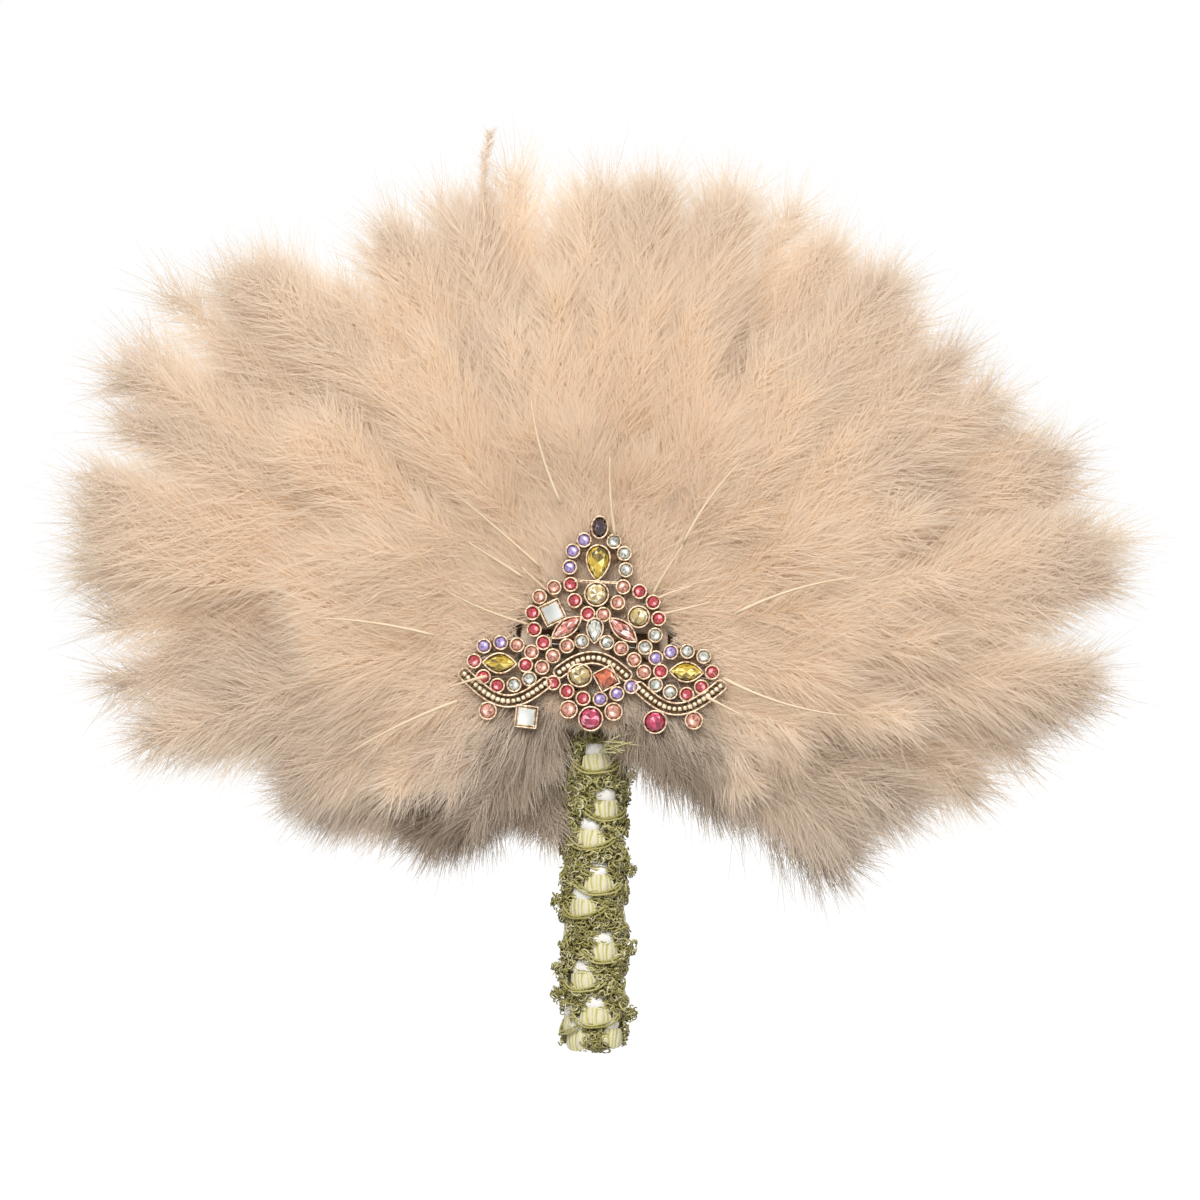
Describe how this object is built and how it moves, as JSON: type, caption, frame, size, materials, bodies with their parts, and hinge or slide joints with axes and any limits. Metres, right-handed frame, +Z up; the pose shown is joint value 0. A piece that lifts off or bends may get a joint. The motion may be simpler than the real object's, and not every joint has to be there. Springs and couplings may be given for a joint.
{
  "type": "feather hand fan",
  "caption": "Rigid marabou feather hand fan: satin handle wound with lace, round hub, tiers of peach plumage and a jewelled pin-back brooch over the quills.",
  "frame": {"origin": "middle of the hand grip, on the handle's axis", "axes": "+Z up the handle towards the plumage, -Y out of the front where the brooch is, +X to the right seen from the front"},
  "size_m": [0.3484, 0.0506, 0.2938],
  "materials": {
    "feather": "fluffy marabou down, matte",
    "wood": "plain sanded",
    "satin": "satin sheen",
    "lace": "matte cord and thread",
    "felt": "matte felt",
    "gilt": "antique, dark in the recesses",
    "steel": "polished wire",
    "onyx_glass": "faceted, dark",
    "citrine_glass": "faceted",
    "champagne_glass": "faceted",
    "mirror_glass": "foil-backed mirror",
    "rose_glass": "faceted",
    "crystal_glass": "faceted, clear",
    "amber_glass": "faceted",
    "magenta_glass": "faceted",
    "ruby_glass": "faceted, small stones of the setting",
    "lavender_glass": "faceted, small stones of the setting"
  },
  "bodies": {
    "fan": {"handle_dowel": "wood", "front_board": "wood", "back_board": "wood", "handle_ribbon": "satin", "pin_strap": "satin", "lace_trim": "lace", "front_pad": "felt", "back_pad": "felt", "outer_tuft_01": "feather", "outer_tuft_02": "feather", "outer_tuft_03": "feather", "outer_tuft_04": "feather", "outer_tuft_05": "feather", "outer_tuft_06": "feather", "outer_tuft_07": "feather", "outer_tuft_08": "feather", "outer_tuft_09": "feather", "outer_tuft_10": "feather", "outer_tuft_11": "feather", "outer_tuft_12": "feather", "outer_tuft_13": "feather", "outer_tuft_14": "feather", "outer_tuft_15": "feather", "outer_tuft_16": "feather", "front_tuft_01": "feather", "front_tuft_02": "feather", "front_tuft_03": "feather", "front_tuft_04": "feather", "front_tuft_05": "feather", "front_tuft_06": "feather", "front_tuft_07": "feather", "front_tuft_08": "feather", "front_tuft_09": "feather", "back_tuft_01": "feather", "back_tuft_02": "feather", "back_tuft_03": "feather", "back_tuft_04": "feather", "back_tuft_05": "feather", "back_tuft_06": "feather", "brooch_setting": "gilt", "pin_hinge_bracket": "gilt", "catch_barrel": "gilt", "pin_hinge_rivet": "steel", "finial_stone": "onyx_glass", "crown_pear_stone": "citrine_glass", "left_wing_navette": "citrine_glass", "right_wing_navette": "citrine_glass", "crown_round_stone": "champagne_glass", "right_round_stone": "champagne_glass", "centre_oval_stone": "champagne_glass", "left_mirror_stone": "mirror_glass", "left_drop_mirror": "mirror_glass", "left_rose_navette": "rose_glass", "right_rose_navette": "rose_glass", "centre_pear_stone": "crystal_glass", "centre_square_stone": "amber_glass", "base_round_stone": "magenta_glass", "right_drop_stone": "magenta_glass"},
    "pin": {"pin_stem": "steel"},
    "catch": {"catch_roller": "gilt"}
  },
  "joints": [
    {"name": "pin_hinge", "type": "hinge", "parent": "fan", "child": "pin", "pos_m": [-0.01498, -0.0178, 0.08071], "axis": [0.0471, 0, 0.9989], "range_deg": [0, 15]},
    {"name": "catch_roll", "type": "hinge", "parent": "fan", "child": "catch", "pos_m": [0.01498, -0.0178, 0.07929], "axis": [0.9989, 0, -0.0471], "range_deg": [0, 110]}
  ]
}
